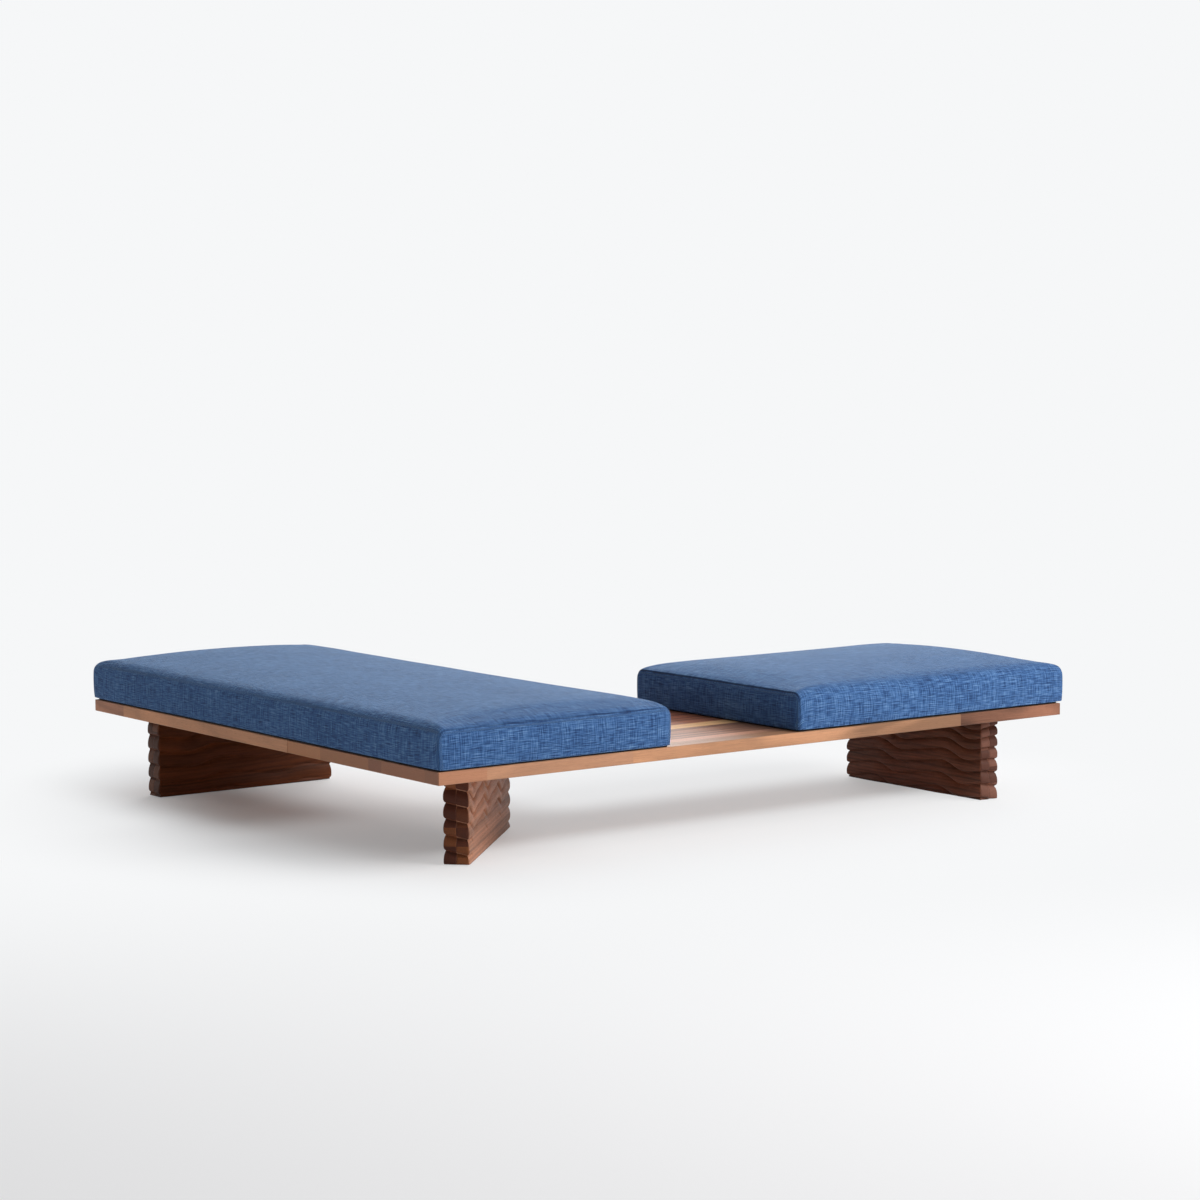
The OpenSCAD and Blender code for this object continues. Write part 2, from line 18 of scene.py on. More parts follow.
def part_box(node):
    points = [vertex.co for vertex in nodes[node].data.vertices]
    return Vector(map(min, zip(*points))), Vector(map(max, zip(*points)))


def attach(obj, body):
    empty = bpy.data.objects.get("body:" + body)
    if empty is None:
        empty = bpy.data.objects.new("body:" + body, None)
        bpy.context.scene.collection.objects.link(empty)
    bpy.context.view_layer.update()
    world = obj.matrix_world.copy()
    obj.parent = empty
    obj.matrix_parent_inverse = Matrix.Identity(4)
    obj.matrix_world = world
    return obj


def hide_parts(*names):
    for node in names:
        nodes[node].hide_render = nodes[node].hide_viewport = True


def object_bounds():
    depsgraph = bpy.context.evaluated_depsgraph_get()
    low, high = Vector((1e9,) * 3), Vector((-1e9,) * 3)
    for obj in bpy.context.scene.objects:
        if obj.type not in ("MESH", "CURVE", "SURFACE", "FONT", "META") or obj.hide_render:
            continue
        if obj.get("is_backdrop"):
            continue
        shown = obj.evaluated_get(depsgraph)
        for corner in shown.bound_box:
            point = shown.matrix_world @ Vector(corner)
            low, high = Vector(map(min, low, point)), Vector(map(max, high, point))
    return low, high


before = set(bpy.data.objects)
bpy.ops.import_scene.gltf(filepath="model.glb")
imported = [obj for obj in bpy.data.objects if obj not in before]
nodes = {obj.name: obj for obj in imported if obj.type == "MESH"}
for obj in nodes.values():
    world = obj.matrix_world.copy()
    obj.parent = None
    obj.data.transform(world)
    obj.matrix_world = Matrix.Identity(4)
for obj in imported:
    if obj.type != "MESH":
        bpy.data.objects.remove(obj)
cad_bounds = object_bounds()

MM = 0.001
print("pieces in the model:", len(nodes))
print("size in mm:", [round((b - a) / MM) for a, b in zip(*cad_bounds)])


# %% [markdown]
# ## Reading places from the model
# Blender adds looks and never moves a piece, so each place is asked of the model. `together`
# gives the lowest and highest corner of a group of pieces. `new_piece` turns points and faces
# into an object: the floor, the legs, the felt and the cushions are made with it.

# %% Places and pieces
def together(*names):
    boxes = [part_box(n) for n in names]
    low = np.min([b[0] for b in boxes], axis=0)
    high = np.max([b[1] for b in boxes], axis=0)
    return low, high


def new_piece(name, points, faces, material, smooth=True):
    mesh = bpy.data.meshes.new(name)
    mesh.from_pydata([tuple(p) for p in points], [], [tuple(f) for f in faces])
    mesh.validate()
    mesh.polygons.foreach_set("use_smooth", [smooth] * len(mesh.polygons))
    mesh.materials.append(material)
    piece = bpy.data.objects.new(name, mesh)
    bpy.context.scene.collection.objects.link(piece)
    return piece


STAVES = [n for n in nodes if n.endswith("_stave") or "_stave_" in n]
panels_low, panels_high = together(*STAVES)
board_top = float(panels_high[2])
board_foot = float(panels_low[2])
print("staves:", len(STAVES), "top of the boards in mm:", round(board_top / MM))


# %% [markdown]
# ## A small language for finishes
# A finish in Blender is a tree of nodes. Written by hand that is long and hard to read, so one
# class wraps an output and lets it take part in ordinary arithmetic: `1 - mask` adds a Math node
# by itself. `Finish.node` makes any other node from its type, its settings and its inputs.
# Colours are given as they look on screen, from 0 to 255, and turned into light by `shade`.

# %% Outputs that can be added and multiplied
class Wire:
    def __init__(self, finish, socket):
        self.finish = finish
        self.socket = socket

    def math(self, operation, *values):
        return self.finish.node("Math", {"operation": operation}, dict(enumerate(values)))

    def __add__(self, other):
        return self.math("ADD", self, other)

    def __radd__(self, other):
        return self.math("ADD", other, self)

    def __sub__(self, other):
        return self.math("SUBTRACT", self, other)

    def __rsub__(self, other):
        return self.math("SUBTRACT", other, self)

    def __mul__(self, other):
        return self.math("MULTIPLY", self, other)

    def __truediv__(self, other):
        return self.math("DIVIDE", self, other)

    def size(self):
        return self.math("ABSOLUTE", self)

    def sine(self):
        return self.math("SINE", self)

    def floor(self):
        return self.math("FLOOR", self)

    def root(self):
        return self.math("SQRT", self)

    def most(self, other):
        return self.math("MAXIMUM", self, other)

    def between(self, low, high):
        """0 up to low, 1 from high on and an easy curve in between. low can be the larger one."""
        settings = {"interpolation_type": "SMOOTHSTEP"}
        return self.finish.node("MapRange", settings, {0: self, 1: low, 2: high})


def shade(red, green, blue):
    """A colour as it looks on screen, turned into the amount of light of each kind."""
    parts = [c / 255 for c in (red, green, blue)]
    light = [c / 12.92 if c <= 0.04045 else ((c + 0.055) / 1.055) ** 2.4 for c in parts]
    return (*light, 1.0)


# %% Trees of nodes
class Finish:
    def __init__(self, name, world=None):
        self.owner = world or bpy.data.materials.new(name)
        self.owner.use_nodes = True
        self.tree = self.owner.node_tree
        self.tree.nodes.clear()

    def node(self, kind, settings=None, inputs=None, out=0):
        made = self.tree.nodes.new("ShaderNode" + kind)
        for key, value in (settings or {}).items():
            if key == "stops":
                self.set_stops(made.color_ramp, value)
            else:
                setattr(made, key, value)
        for key, value in (inputs or {}).items():
            if isinstance(value, Wire):
                self.tree.links.new(value.socket, made.inputs[key])
            else:
                made.inputs[key].default_value = value
        return Wire(self, made.outputs[out]) if len(made.outputs) else None

    def set_stops(self, ramp, stops):
        while len(ramp.elements) < len(stops):
            ramp.elements.new(1.0)
        for element, (place, colour) in zip(ramp.elements, stops):
            element.position = place
            element.color = colour

    def split(self, vector):
        parts = self.node("SeparateXYZ", inputs={0: vector})
        return [Wire(self, s) for s in parts.socket.node.outputs]

    def join(self, x, y, z=0.0):
        return self.node("CombineXYZ", inputs={0: x, 1: y, 2: z})

    def noise(self, x, y, z=0.0, detail=2.0, rough=0.5):
        inputs = {"Vector": self.join(x, y, z), "Scale": 1.0, "Detail": detail, "Roughness": rough}
        return self.node("TexNoise", inputs=inputs)

    def ramp(self, value, stops):
        return self.node("ValToRGB", {"stops": stops}, {0: value})

    def mix(self, share, first, second, blend="MIX"):
        settings = {"data_type": "RGBA", "blend_type": blend}
        return self.node("Mix", settings, {0: share, 6: first, 7: second}, out=2)

    def bump(self, height, depth, strength=1.0):
        inputs = {"Height": height, "Distance": depth, "Strength": strength}
        return self.node("Bump", inputs=inputs)

    def surface(self, **inputs):
        """The skin of a solid. Keys are the socket names with _ for a space."""
        named = {key.replace("_", " "): value for key, value in inputs.items()}
        skin = self.node("BsdfPrincipled", inputs=named)
        self.node("OutputMaterial", inputs={"Surface": skin})
        return self.owner


# %% [markdown]
# ## Where the viewer stands
# The viewing angle was worked out from the straight edges of the boards: a long lens, 1.4 m above
# the floor and nearly 9 m away, turned 36 degrees from the bench's front and tipped 5 degrees
# down. The camera's three axes are written out from those angles.

# %% Camera
LENS = 92.36
PITCH = math.radians(5.447)
YAW = math.radians(36.368)
ROLL = math.radians(-0.319)
camera_place = Vector((-5.1897, -7.1865, 1.4087))

ahead = Vector((math.sin(YAW) * math.cos(PITCH), math.cos(YAW) * math.cos(PITCH), -math.sin(PITCH)))
level = Vector((math.cos(YAW), -math.sin(YAW), 0))
upward = level.cross(ahead)
across = level * math.cos(ROLL) + upward * math.sin(ROLL)
above = upward * math.cos(ROLL) - level * math.sin(ROLL)

lens = bpy.data.cameras.new("camera")
lens.lens = LENS
camera = bpy.data.objects.new("camera", lens)
camera.matrix_world = Matrix.Translation(camera_place) @ Matrix((across, above, -ahead)).transposed().to_4x4()
bpy.context.scene.collection.objects.link(camera)
bpy.context.scene.camera = camera
print("distance to the middle in m:", round(camera_place.length, 2))


# %% [markdown]
# ## Floor and light
# The daybed stands on a white studio floor that runs into a white background. Near the object
# the floor is an ordinary matt surface, so that it catches the soft shadow. Further out it turns
# into plain white for the eye only, which hides where it ends. The shadow is lightened with
# painted light too, a share of that white for the eye, least under the arm, where it is deep.
# The sky is brighter on the right and behind. One broad lamp stands in front on the right, and
# a low one behind on the right skims the tops of the cushions, so the sides that face left are
# the darkest.

# %% Floor
FLOOR_SPAN = 80.0
WHITE_FROM_FRONT = (-4.2, -1.2)
WHITE_BEHIND = (1.0, 3.5)
WHITE_FAR_OUT = (4.2, 7.0)
SHADOW_REACH = (0.95, 1.8)
SHADOW_SOFTENING = 0.27
# Places where the shadow is lightened by another share of painted white, in metres along X and
# along Y. Each pair runs from where the place begins to count to where it counts in full.
SHADOW_PLACES = {
    "before_bench": ((-1.1, -0.7), (-0.5, -0.7)),
    "behind_bench": ((-0.4, -0.1), (-0.38, -0.1)),
    "under_arm": ((-0.6, -0.85), (-0.1, 0.25)),
    "beside_arm": ((-1.0, -1.3), (-0.2, 0.4)),
}
# Along X, the part on the right of the arm, and then how much more the shadow is softened in each
# place. Under the arm it is softened less.
RIGHT_PART = (-0.75, -0.4)
OPEN_SOFTENING = 0.32
RIGHT_SOFTENING = 0.12
BESIDE_SOFTENING = 0.6
ARM_DEEPENING = 0.2
floor_grey = shade(238, 238, 239)
background = shade(246, 247, 248)


def for_the_eye(finish):
    """1 for what is seen directly, in a gloss or through glass, and 0 for what gives light."""
    rays = finish.node("LightPath").socket.node.outputs
    kinds = ("Is Camera Ray", "Is Glossy Ray", "Is Transmission Ray")
    seen = [Wire(finish, rays[name]) for name in kinds]
    return seen[0].most(seen[1]).most(seen[2])


def studio_floor():
    f = Finish("studio_floor")
    x, y, _ = f.split(f.node("TexCoord", out="Object"))
    away = x * math.sin(YAW) + y * math.cos(YAW)
    out = (x * x + y * y).root()
    clear = out.between(*SHADOW_REACH)
    spots = {spot: y.between(*back) * x.between(*across) for spot, (across, back) in SHADOW_PLACES.items()}
    under = spots["before_bench"].most(spots["behind_bench"]) * OPEN_SOFTENING
    under = under + x.between(*RIGHT_PART) * RIGHT_SOFTENING + SHADOW_SOFTENING
    under = under + spots["beside_arm"] * BESIDE_SOFTENING - spots["under_arm"] * ARM_DEEPENING
    # Painted light: near the object a share of plain white for the eye lightens the shadow, by place.
    white = away.between(*WHITE_FROM_FRONT) * (under + clear * (1 - under))
    white = white.most(away.between(*WHITE_BEHIND)).most(out.between(*WHITE_FAR_OUT))
    matt = f.node("BsdfDiffuse", inputs={"Color": floor_grey})
    plain = f.node("Emission", inputs={"Color": background})
    skin = f.node("MixShader", inputs={0: white * for_the_eye(f), 1: matt, 2: plain})
    f.node("OutputMaterial", inputs={0: skin})
    return f.owner


half = FLOOR_SPAN / 2
floor_points = [(-half, -half, 0), (half, -half, 0), (half, half, 0), (-half, half, 0)]
floor = new_piece("floor", floor_points, [(0, 1, 2, 3)], studio_floor(), smooth=False)
floor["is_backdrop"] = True

# %% World and lamp
WORLD_LIGHT = 0.54
BRIGHT_SIDE = (0.77, 0.35)
# Direction of each lamp, its width in metres and its power in watts.
LAMPS = {
    "soft_lamp": (Vector((0.41, -0.71, 0.57)), 5.0, 375.0),
    "back_lamp": (Vector((0.62, 0.72, 0.3)), 4.0, 190.0),
}
LAMP_DISTANCE = 7.0

world = bpy.data.worlds.new("studio")
bpy.context.scene.world = world
w = Finish("studio", world)
x, y, _ = w.split(w.node("TexCoord", out="Generated"))
strength = (x * BRIGHT_SIDE[0] + y * BRIGHT_SIDE[1] + 1) * WORLD_LIGHT
even = w.node("Background", inputs={"Color": (1, 1, 1, 1), "Strength": strength})
white = w.node("Background", inputs={"Color": background, "Strength": 1.0})
sky = w.node("MixShader", inputs={0: for_the_eye(w), 1: even, 2: white})
w.node("OutputWorld", inputs={0: sky})

for name, (way, span, power) in LAMPS.items():
    lamp_data = bpy.data.lights.new(name, "AREA")
    lamp_data.shape = "DISK"
    lamp_data.size = span
    lamp_data.energy = power
    lamp = bpy.data.objects.new(name, lamp_data)
    lamp.location = way.normalized() * LAMP_DISTANCE
    lamp.rotation_euler = way.to_track_quat("Z", "Y").to_euler()
    bpy.context.scene.collection.objects.link(lamp)
bpy.context.scene.view_settings.view_transform = "Standard"


# %% [markdown]
# ## Walnut
# A board is cut out of a round trunk, so its figure is the place where growth rings meet its
# surface. The finish is therefore solid: it works out how far each point lies from the heart of
# an imagined tree that sways a little along the grain. The same rings then show as lines on the
# face and as arcs on the end. Fine fibres and pores are noise that is stretched along the grain.

# %% Solid wood
# A figure is made of noises. The numbers that multiply a place in them say how often each one
# changes in a metre, along the grain and across it. Each seed's tree stands TREE_STEP metres
# further on along the grain.
TREE_STEP = 3.1
PORE_LENGTH = 25 * MM
PORE_WIDTH = 0.45 * MM
PORE_SHARE = 0.45
PORE_TONES = (0.62, 0.72)
PORE_COLOUR = (0.25, 0.16, 0.12, 1.0)
FIBRE_WIDTH = 1.1 * MM
SWAY_ACROSS = 50 * MM
SWAY_UP = 30 * MM
DRIFT_ACROSS = 160 * MM
OILED_ROUGHNESS = 0.46
# How far a surface has to look up, or along the grain, to count as a top or as an end.
FACING_UP = (0.5, 0.9)
FACING_ALONG = (0.55, 0.8)
GRAIN_DEPTH = 0.12 * MM

# How strongly each part of the figure darkens and lightens the wood.
BANDS = 1.5
LATE_WOOD = 0.16
FIBRES = 0.75
CLOUDS = 0.6
SLOW_TONES = 0.5
# The darkest tone lies the whole spread away from the middle one, and the lightest this share of it.
LIGHTENING = 0.65


def walnut(name, tone, spread, turn=0.0, seed=0, heart=(60, 45), ring=7.0, figure=1.0, ends=None, block=None,
           change=None, top_shade=0.0, gloss=0.14):
    """tone is the middle colour and spread how far it darkens and lightens. turn is the direction of
    the grain, heart where the tree's middle lies in mm, ring the width of a growth ring in mm. ends
    holds the darkest and the lightest end grain, and block the height of the boards it changes with.
    change is a place along the grain, one further on, and how much lighter the wood gets between.
    The argument after change is painted shade: how much darker the upper face is drawn than the rest.
    gloss is how much the oiled surface reflects."""
    f = Finish(name)
    dark = shade(*[c * (1 - spread) for c in tone])
    light = shade(*[min(c * (1 + LIGHTENING * spread), 255) for c in tone])
    at = f.node("TexCoord", out="Object")
    along, v, z = f.split(f.node("Mapping", inputs={"Vector": at, "Rotation": (0, 0, -turn)}))
    u = along + TREE_STEP * seed
    sway = f.noise(u * 1.1, v * 2.5 + seed, z * 2.5, detail=3) - 0.5
    drift = f.noise(u * 0.45, seed + 0.5, 0.0, detail=1) - 0.5
    from_heart = v + (heart[0] * MM + sway * SWAY_ACROSS + drift * DRIFT_ACROSS)
    depth = z - (board_foot - heart[1] * MM) + sway * SWAY_UP
    rings = (from_heart * from_heart + depth * depth).root() / (ring * MM)
    wobble = f.noise(u * 3, v * 30, z * 30 + seed, detail=2) - 0.5
    late = ((rings + wobble * 0.9) * math.tau).sine() * 0.5 + 0.5
    bands = f.noise(rings * 0.45, seed + 0.1, u * 0.3, detail=3, rough=0.65)
    fibre = f.noise(u * 9, v / FIBRE_WIDTH, z / FIBRE_WIDTH + seed, detail=3, rough=0.6)
    cloud = f.noise(u * 2.2, v * 11, z * 11 + seed * 2, detail=2)
    slow = f.noise(u * 1.6, seed + 0.7, 0.0, detail=1)
    level = 0.5 + (bands - 0.5) * (BANDS * figure) + (late - 0.5) * (LATE_WOOD * figure)
    level = level + (fibre - 0.5) * FIBRES + (cloud - 0.5) * CLOUDS + (slow - 0.5) * SLOW_TONES
    if change:
        start, stop, lighter = change
        level = level + along.between(start, stop) * lighter
    # Painted shade on the upper face, by how far the surface looks up.
    if top_shade:
        level = level - f.split(f.node("TexCoord", out="Normal"))[2].between(*FACING_UP) * top_shade
    pores = f.noise(u / PORE_LENGTH, v / PORE_WIDTH, z / PORE_WIDTH, detail=1).between(*PORE_TONES)
    colour = f.ramp(level, [(0.12, dark), (0.5, shade(*tone)), (0.88, light)])
    if ends:
        toward = (math.cos(turn), math.sin(turn), 0.0)
        facing = f.node("VectorMath", {"operation": "DOT_PRODUCT"},
                        {0: f.node("TexCoord", out="Normal"), 1: toward}, out="Value")
        pick = 0.5
        if block:
            board = f.join((z / block).floor(), seed)
            pick = f.node("TexWhiteNoise", inputs={"Vector": board}, out="Value")
        grain = f.ramp(pick + (fibre - 0.5) * 0.8, [(0.15, shade(*ends[0])), (0.85, shade(*ends[1]))])
        colour = f.mix(facing.size().between(*FACING_ALONG), colour, grain)
    colour = f.mix(pores * PORE_SHARE, colour, PORE_COLOUR, "MULTIPLY")
    height = fibre * 0.4 + late * 0.15 - pores * 0.8
    return f.surface(
        Base_Color=colour,
        Roughness=OILED_ROUGHNESS + (fibre - 0.5) * 0.2 + pores * 0.2,
        Normal=f.bump(height, GRAIN_DEPTH, 0.5),
        Specular_IOR_Level=gloss,
    )


# %% [markdown]
# ## The staves
# No two staves come from the same plank. Each therefore has its own tree, its own tones and its
# own grain direction: along X in the bench and along Y in the arm. The front stave is warm and
# even, the broad one behind it pale and pinkish, and a strip of sapwood divides that from the
# darker staves with brown streaks. Some staves get lighter or darker along their length. The
# staves that lie bare between the cushions get painted shade on top, so they are a little darker
# there than on their edge.

# %% Finish of each stave
ALONG_X = 0.0
ALONG_Y = math.pi / 2

# Middle tone, how far it spreads, direction of the grain, place of the tree's heart in mm, width of
# a ring in mm, strength of the figure and tone of the end grain.
STAVE_FINISH = {
    "front_stave_corner": ((176, 124, 95), 0.2, ALONG_X, (40, 70), 9, 0.5, (150, 106, 84)),
    "front_stave_left": ((188, 139, 108), 0.2, ALONG_X, (55, 90), 8, 0.6, (150, 106, 84)),
    "front_stave_middle": ((188, 138, 104), 0.26, ALONG_X, (75, 60), 9, 0.6, (150, 106, 84)),
    "front_stave_right": ((128, 87, 68), 0.34, ALONG_X, (50, 30), 6, 1.2, (150, 106, 84)),
    "broad_stave": ((176, 128, 104), 0.34, ALONG_X, (-40, 60), 9, 1.4, (158, 110, 86)),
    "sapwood_stave": ((222, 176, 128), 0.12, ALONG_X, (0, 50), 7, 0.6, (144, 100, 80)),
    "narrow_stave": ((150, 98, 76), 0.42, ALONG_X, (-30, 35), 6, 1.2, (164, 114, 86)),
    "dark_stave": ((138, 86, 66), 0.44, ALONG_X, (10, 40), 6, 1.3, (168, 118, 88)),
    "back_stave": ((158, 108, 84), 0.38, ALONG_X, (60, 70), 8, 1.0, (184, 128, 92)),
    "arm_outer_stave": ((203, 146, 110), 0.22, ALONG_Y, (40, 60), 8, 0.8, (160, 112, 86)),
    "arm_outer_end_stave": ((188, 132, 104), 0.24, ALONG_Y, (70, 50), 7, 0.8, (150, 104, 80)),
    "arm_stave_2": ((190, 150, 132), 0.21, ALONG_Y, (20, 45), 8, 1.0, (158, 110, 86)),
    "arm_stave_3": ((158, 108, 84), 0.38, ALONG_Y, (-50, 60), 7, 1.0, (148, 102, 80)),
    "arm_stave_4": ((146, 98, 78), 0.42, ALONG_Y, (30, 35), 7, 1.2, (140, 96, 74)),
    "arm_inner_stave": ((192, 136, 104), 0.22, ALONG_Y, (-60, 55), 8, 0.9, (156, 108, 84)),
}
# Where along the grain a stave changes its tone, in metres, and how much lighter it is after that.
CHANGES = {
    "front_stave_middle": (0.2, 0.36, -0.4),
    "front_stave_right": (0.8, 1.06, 0.4),
    "broad_stave": (-0.12, 0.16, -0.5),
    "arm_outer_stave": (0.6, 0.66, -0.2),
}
# Painted shade: how much darker a stave is drawn on top than on its edges.
TOP_SHADE = {"front_stave_left": 0.34, "front_stave_middle": 0.3, "broad_stave": 0.1}
END_SPREAD = 0.12


def dress(node, material):
    """Gives a piece of the model one material."""
    mesh = nodes[node].data
    mesh.materials.clear()
    mesh.materials.append(material)


for number, (node, look) in enumerate(STAVE_FINISH.items()):
    tone, spread, turn, heart, ring, figure, end = look
    ends = [[c * (1 - END_SPREAD) for c in end], [c * (1 + END_SPREAD) for c in end]]
    finish = walnut(node + "_finish", tone, spread, turn, number + 1, heart, ring, figure, ends,
                    change=CHANGES.get(node), top_shade=TOP_SHADE.get(node, 0.0))
    dress(node, finish)
print("staves finished:", len(STAVE_FINISH), "of", len(STAVES))


# %% [markdown]
# ## The carved legs
# Each leg is a thick slab glued from two plies. A carver has cut ridges round it that ripple
# along the broad faces: under each ridge the cut is abrupt, above it the wood slopes in to the
# next groove. The fine mesh follows that description. Rings of points run round the slab, several
# to a ridge. Each ring is lifted and lowered by a wave and drawn in by the depth of the cut, and
# what passes the slab's foot or its head is sawn off flat.

# %% Styles of the three legs
# A ply's number is the side of the glue line on which it lies. first is the height of the lowest
# groove, pitch the way up to the next one, and crowding how much closer each further one lies. A
# ripple is wave long and as high as heights says, at the foot and at the head. phase is its angle
# in the middle of the slab, drift how far that turns on the way up, and skew how lopsided it is.
# lean is how steeply the grooves rise from one broad face to the other, at the foot and at the
# head. Between the two heights of plain_foot the cut on the broad faces comes in.
LEGS = {
    "corner_leg": {
        "turn": math.pi / 4, "left_ply": 1, "right_ply": -1,
        "face_cut": 7.5 * MM, "plain_foot": (45 * MM, 105 * MM),
        "first": 20.5 * MM, "pitch": 39.5 * MM, "crowding": 0.0,
        "wave": 195 * MM, "heights": (9 * MM, 16.5 * MM), "lean": (0.2, 0.2),
        "phase": math.radians(267), "drift": math.radians(15), "skew": math.radians(-49),
    },
    "arm_leg": {
        "turn": 0.0, "front_ply": -1, "back_ply": 1,
        "face_cut": 5 * MM, "first": 3 * MM, "pitch": 43.5 * MM, "crowding": 0.0,
        "wave": 275 * MM, "heights": (9 * MM, 9 * MM), "lean": (0.05, -0.02),
        "phase": math.radians(150), "drift": math.radians(70), "skew": math.radians(28),
    },
    "bench_leg": {
        "turn": math.pi / 2, "inner_ply": 1, "outer_ply": -1,
        "face_cut": 7.5 * MM, "first": 0.0, "pitch": 43.5 * MM, "crowding": 0.03,
        "wave": 275 * MM, "heights": (12 * MM, 12 * MM), "lean": (0.24, -0.15),
        "phase": math.radians(199), "drift": math.radians(70), "skew": math.radians(28),
    },
}
# Tone of each ply, then its darkest and its lightest end grain.
LEG_WOOD = {
    "corner_leg_left_ply": ((112, 64, 42), (78, 44, 34), (128, 78, 48)),
    "corner_leg_right_ply": ((158, 112, 88), (82, 47, 36), (128, 78, 48)),
    "arm_leg_front_ply": ((100, 54, 30), (80, 50, 38), (112, 74, 56)),
    "arm_leg_back_ply": ((108, 62, 42), (80, 50, 38), (112, 74, 56)),
    "bench_leg_inner_ply": ((114, 70, 52), (84, 52, 42), (120, 80, 66)),
    "bench_leg_outer_ply": ((126, 80, 60), (84, 52, 42), (120, 80, 66)),
}
LEG_SPREAD = 0.42
FIRST_LEG_SEED = 21
LAMINATE = 48 * MM
END_CUT = 10 * MM
UPRIGHT_RADIUS = 7 * MM
INNER_RADIUS = 1.5 * MM
# The cut from one groove to the next: a share of the way up and a share of the groove's depth.
CUT = [(0, 1), (0.04, 0.8), (0.09, 0.32), (0.15, 0.1), (0.24, 0.02), (0.38, 0), (0.5, 0.03), (0.62, 0.12),
       (0.72, 0.27), (0.82, 0.47), (0.91, 0.71), (0.97, 0.92)]


def part_way(pair, share):
    return pair[0] + (pair[1] - pair[0]) * share


def wave(style, along, across, share):
    """Height of the ripple over its middle line, for a place on the leg and a share of the height."""
    angle = math.tau * along / style["wave"] + style["phase"] + style["drift"] * share
    ripple = np.sin(angle + style["skew"] * np.sin(angle))
    return part_way(style["heights"], share) * ripple + part_way(style["lean"], share) * across


def groove(style, k):
    """Height of the middle line of groove k above the leg's foot."""
    return style["first"] + style["pitch"] * k * (1 - style["crowding"] * k)


# %% Outline of the slab
# Half as many grooves again as the height holds, because ripples bring some down from above it.
GROOVES_OVER = 1.5
FACE_COLUMNS = 130
END_COLUMNS = 8
CORNER_COLUMNS = 5
# Depth of the chisel's marks, and how often they change in a metre, round the slab and up it.
TOOL_MARK = 0.45 * MM
MARKS_ROUND = 45
MARKS_UP = 70
# The share of half the slab's length over which a plain foot fades out, so that the cut is full at
# the ends of the slab.
FADE_SHARE = 0.16


def ply_places():
    """Places round one ply, from the middle of one end to the middle of the other. Each is a share
    of the length, a share of the thickness and the direction in which the surface looks."""
    turns = [math.pi / 2 * i / CORNER_COLUMNS for i in range(CORNER_COLUMNS + 1)]
    near = [(1, i / END_COLUMNS, 0.0) for i in range(END_COLUMNS)] + [(1, 1, turn) for turn in turns]
    face = [(1 - 2 * i / FACE_COLUMNS, 1, math.pi / 2) for i in range(1, FACE_COLUMNS)]
    return near + face + [(-x, y, math.pi - turn) for x, y, turn in reversed(near)]


def outline(place, drawn_in, length, thick):
    """Point of the slab's rounded outline when it is drawn in."""
    radius = np.maximum(UPRIGHT_RADIUS - drawn_in, INNER_RADIUS)
    x = place[0] * (length / 2 - drawn_in - radius) + radius * math.cos(place[2])
    y = place[1] * (thick / 2 - drawn_in - radius) + radius * math.sin(place[2])
    return x, y


# %% One ply as a mesh
def face_share(style, spot, height):
    """How much of the cut is left at a height: on some legs the broad faces run out plain at the
    foot, but not close to the ends of the slab."""
    if "plain_foot" not in style:
        return np.ones_like(height)
    bare, full = style["plain_foot"]
    from_end = min(1.0, (1 - abs(spot[0])) / FADE_SHARE)
    return 1 - from_end * np.clip((full - height) / (full - bare), 0, 1)


def column(style, spot, side, length, thick, foot, head):
    """Points up one upright line of a ply, from its foot to the board."""
    height = head - foot
    on_x, on_y = outline(spot, 0.0, length, thick)
    deepest = END_CUT + (style["face_cut"] - END_CUT) * math.sin(spot[2])
    rise, depth = [], []
    for k in range(-1, int(GROOVES_OVER * height / style["pitch"])):
        low, high = groove(style, k), groove(style, k + 1)
        for share, deep in CUT:
            middle = low + share * (high - low)
            rise.append(foot + middle + wave(style, on_x, side * on_y, min(max(middle / height, 0), 1)))
            depth.append(deep)
    rise = np.maximum.accumulate(rise)
    z = np.clip(rise, foot, head)
    seed = 20 * style["wave"]
    spots = [Vector((on_x * MARKS_ROUND, side * on_y * MARKS_ROUND + seed, h * MARKS_UP)) for h in z]
    mark = np.array([noise.noise(at) for at in spots])
    cut = deepest * np.interp(z, rise, depth) * face_share(style, spot, z - foot)
    x, y = outline(spot, cut + TOOL_MARK * (1 + mark), length, thick)
    return np.stack([x, side * np.maximum(y, 0), z], axis=1)


def carved_ply(name, style, side, length, thick, foot, head, material):
    grid = np.array([column(style, spot, side, length, thick, foot, head) for spot in ply_places()])
    columns, rows = grid.shape[:2]

    def spot(i, j):
        return (i % columns) * rows + j

    walls = [(spot(i, j), spot(i + 1, j), spot(i + 1, j + 1), spot(i, j + 1))
             for i in range(columns) for j in range(rows - 1)]
    foot_face = tuple(spot(i, 0) for i in reversed(range(columns)))
    head_face = tuple(spot(i, rows - 1) for i in range(columns))
    piece = new_piece(name, grid.reshape(-1, 3), walls + [foot_face, head_face], material)
    weld(piece)
    return piece


def weld(piece):
    """Joins points that the saw cut has brought to the same place, and turns the faces right way out."""
    mesh = bmesh.new()
    mesh.from_mesh(piece.data)
    bmesh.ops.remove_doubles(mesh, verts=mesh.verts, dist=0.02 * MM)
    bmesh.ops.dissolve_degenerate(mesh, edges=mesh.edges, dist=0.01 * MM)
    bmesh.ops.recalc_face_normals(mesh, faces=mesh.faces)
    mesh.to_mesh(piece.data)
    mesh.free()


# %% The three legs
leg_low, leg_high = together("arm_leg_front_ply", "arm_leg_back_ply")
leg_length, leg_thick = (leg_high - leg_low)[:2]
leg_foot, leg_head = float(leg_low[2]), float(leg_high[2])


